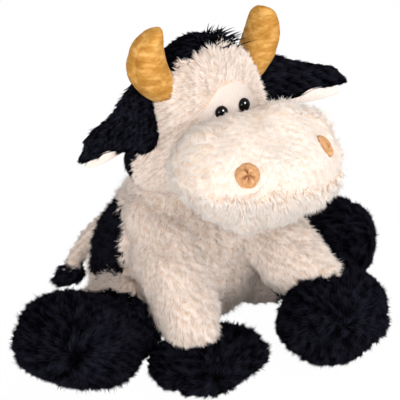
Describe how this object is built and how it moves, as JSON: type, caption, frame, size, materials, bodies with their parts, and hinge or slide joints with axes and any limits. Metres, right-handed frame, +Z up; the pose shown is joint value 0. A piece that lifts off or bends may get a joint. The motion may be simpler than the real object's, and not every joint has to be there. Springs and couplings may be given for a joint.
{
  "type": "plush cow",
  "caption": "Sitting soft toy cow of black and cream fur with a broad muzzle, tan horns, hanging ears and big round hooves",
  "frame": {"origin": "centre of the flat seat under the rump, on the surface that the toy sits on", "axes": "+Z up, -Y the way the cow faces, +X its left side"},
  "size_m": [0.4414, 0.3526, 0.3318],
  "materials": {
    "cream_fur": "long cream plush fur, matte, about 10 mm pile",
    "black_fur": "long black plush fur with a faint bluish sheen",
    "short_pile": "short pale plush pile",
    "eye_panel_pile": "short pale plush pile",
    "tan_velour": "tan velour with a brushed sheen",
    "nostril_velour": "gathered tan velour",
    "eye_plastic": "glossy black plastic",
    "washer_plastic": "natural white plastic",
    "fibre_filling": "loose white polyester fibre",
    "pellet_cotton": "cotton bag of plastic granules"
  },
  "bodies": {
    "torso": {"body_filling": "fibre_filling", "body_skin": "cream_fur", "flank_patch_left": "black_fur", "flank_patch_right": "black_fur", "pellet_bag": "pellet_cotton", "rump_patch_left": "black_fur", "rump_patch_right": "black_fur"},
    "head": {"eye_left": "eye_plastic", "eye_panel": "eye_panel_pile", "eye_right": "eye_plastic", "eye_washer_left": "washer_plastic", "eye_washer_right": "washer_plastic", "head_back": "black_fur", "head_filling": "fibre_filling", "head_skin": "cream_fur", "horn_left": "tan_velour", "horn_right": "tan_velour", "muzzle_skin": "cream_fur", "nostril_left": "nostril_velour", "nostril_right": "nostril_velour"},
    "ear_right": {"ear_back_right": "black_fur", "ear_lining_right": "short_pile"},
    "ear_left": {"ear_back_left": "black_fur", "ear_lining_left": "short_pile"},
    "foreleg_right": {"fore_hoof_right": "black_fur", "fore_sole_right": "black_fur", "foreleg_filling_right": "fibre_filling", "foreleg_skin_right": "cream_fur"},
    "foreleg_left": {"fore_hoof_left": "black_fur", "fore_sole_left": "black_fur", "foreleg_filling_left": "fibre_filling", "foreleg_skin_left": "cream_fur"},
    "hindleg_right": {"hind_hoof_right": "black_fur", "hind_sole_right": "black_fur", "hindleg_filling_right": "fibre_filling", "hindleg_skin_right": "cream_fur"},
    "hindleg_left": {"hind_hoof_left": "black_fur", "hind_sole_left": "black_fur", "hindleg_filling_left": "fibre_filling", "hindleg_skin_left": "cream_fur"},
    "tail": {"tail_cord": "cream_fur", "tail_tuft": "black_fur"}
  },
  "joints": [
    {"name": "ear_flap_left", "type": "hinge", "parent": "head", "child": "ear_left", "pos_m": [0.06285, -0.06928, 0.2617], "axis": [0, -1, 0], "range_deg": [-30, 12], "stiffness_Nm_per_rad": 0.06},
    {"name": "ear_flap_right", "type": "hinge", "parent": "head", "child": "ear_right", "pos_m": [-0.06285, -0.06928, 0.2617], "axis": [0, 1, 0], "range_deg": [-30, 12], "stiffness_Nm_per_rad": 0.06},
    {"name": "foreleg_swing_left", "type": "hinge", "parent": "torso", "child": "foreleg_left", "pos_m": [0.04636, -0.07936, 0.13783], "axis": [-1, 0, 0], "range_deg": [-4, 7], "stiffness_Nm_per_rad": 0.8},
    {"name": "foreleg_swing_right", "type": "hinge", "parent": "torso", "child": "foreleg_right", "pos_m": [-0.04636, -0.07936, 0.13783], "axis": [-1, 0, 0], "range_deg": [-4, 7], "stiffness_Nm_per_rad": 0.8},
    {"name": "head_nod", "type": "hinge", "parent": "torso", "child": "head", "pos_m": [0, -0.055, 0.18325], "axis": [-1, 0, 0], "range_deg": [-3, 7], "stiffness_Nm_per_rad": 3},
    {"name": "hindleg_spread_left", "type": "hinge", "parent": "torso", "child": "hindleg_left", "pos_m": [0.07353, -0.03489, 0.0415], "axis": [0, 0, 1], "range_deg": [-3, 12], "stiffness_Nm_per_rad": 0.8},
    {"name": "hindleg_spread_right", "type": "hinge", "parent": "torso", "child": "hindleg_right", "pos_m": [-0.07353, -0.03489, 0.0415], "axis": [0, 0, -1], "range_deg": [-3, 12], "stiffness_Nm_per_rad": 0.8},
    {"name": "tail_swing", "type": "hinge", "parent": "torso", "child": "tail", "pos_m": [0, 0.0485, 0.094], "axis": [0, 0, 1], "range_deg": [-15, 15], "stiffness_Nm_per_rad": 0.03}
  ]
}
